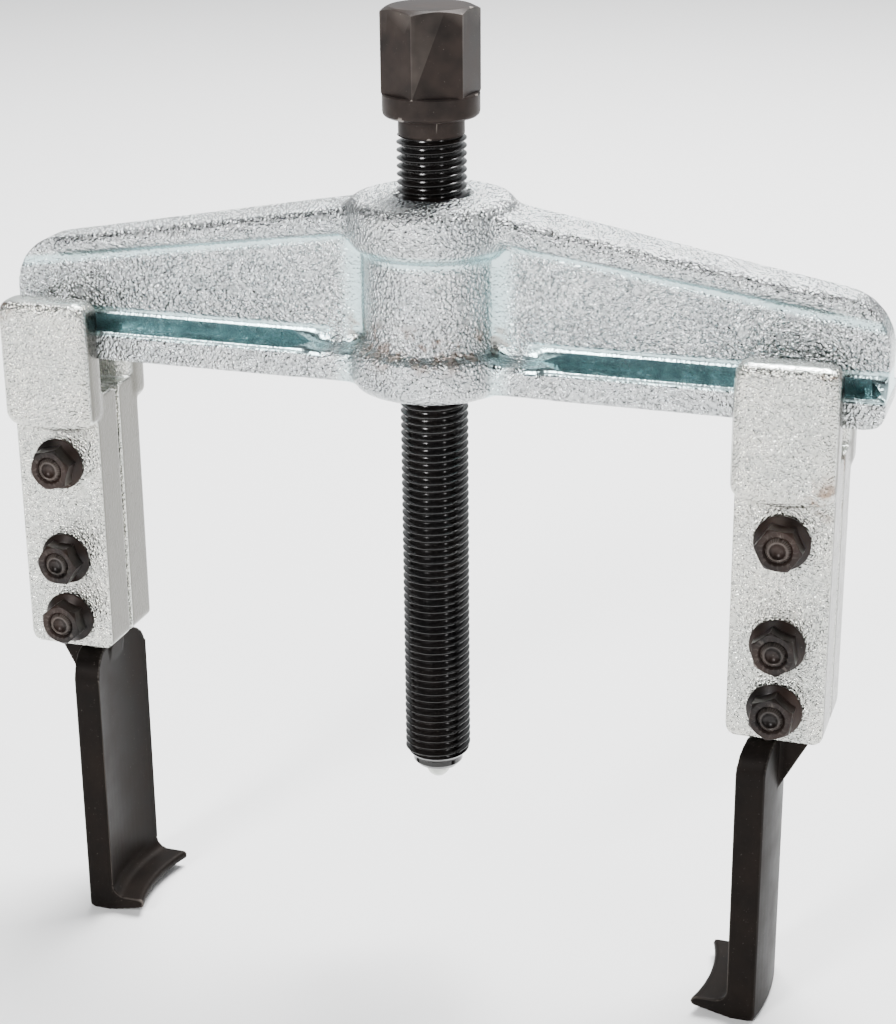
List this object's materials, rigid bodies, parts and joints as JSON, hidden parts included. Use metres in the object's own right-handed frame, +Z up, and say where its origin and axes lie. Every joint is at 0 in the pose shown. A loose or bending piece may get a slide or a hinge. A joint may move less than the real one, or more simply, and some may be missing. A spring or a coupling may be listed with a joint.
{
  "type": "gear puller",
  "caption": "Two-legged gear puller: threaded spindle with a hexagon head through a forged crossbeam, with sliding legs that end in curved hooks.",
  "frame": {"origin": "on the spindle's axis, at the height of the soles of the hooks' feet", "axes": "+Z up along the spindle towards its hexagon head, X along the crossbeam towards the right leg, -Y towards the side with the nuts"},
  "size_m": [0.2904, 0.054, 0.3256],
  "materials": {
    "beam_zinc": "zinc-plated forging, pebbled",
    "cheek_zinc": "zinc-plated forging, pebbled front, smooth sides",
    "spindle_black": "black oxide, oiled, machined",
    "hook_black": "black oxide, satin",
    "fastener_black": "black oxide, satin",
    "ball_steel": "bare hardened steel"
  },
  "bodies": {
    "beam": {"crossbeam": "beam_zinc"},
    "pressure_tip": {"spindle_ball": "ball_steel"},
    "screw": {"spindle": "spindle_black"},
    "left_leg": {"left_front_cheek": "cheek_zinc", "left_back_cheek": "cheek_zinc", "left_hook": "hook_black", "left_bolt_1": "fastener_black", "left_bolt_2": "fastener_black", "left_bolt_3": "fastener_black", "left_nut_1": "fastener_black", "left_nut_2": "fastener_black", "left_nut_3": "fastener_black"},
    "right_leg": {"right_front_cheek": "cheek_zinc", "right_back_cheek": "cheek_zinc", "right_hook": "hook_black", "right_bolt_1": "fastener_black", "right_bolt_2": "fastener_black", "right_bolt_3": "fastener_black", "right_nut_1": "fastener_black", "right_nut_2": "fastener_black", "right_nut_3": "fastener_black"}
  },
  "joints": [
    {"name": "spindle_feed", "type": "slide", "parent": "beam", "child": "pressure_tip", "axis": [0, 0, 1], "range_m": [-0.0235, 0.12]},
    {"name": "spindle_turn", "type": "hinge", "parent": "pressure_tip", "child": "screw", "pos_m": [0, 0, 0.2], "axis": [0, 0, 1], "range_deg": [-3400, 17300]},
    {"name": "left_leg_slide", "type": "slide", "parent": "beam", "child": "left_leg", "axis": [1, 0, 0], "range_m": [0, 0.0712]},
    {"name": "right_leg_slide", "type": "slide", "parent": "beam", "child": "right_leg", "axis": [-1, 0, 0], "range_m": [-0.0123, 0.0589]}
  ],
  "couplings": [
    {"joint": "spindle_turn", "follows": "spindle_feed", "rad_per_m": 2513.3}
  ]
}
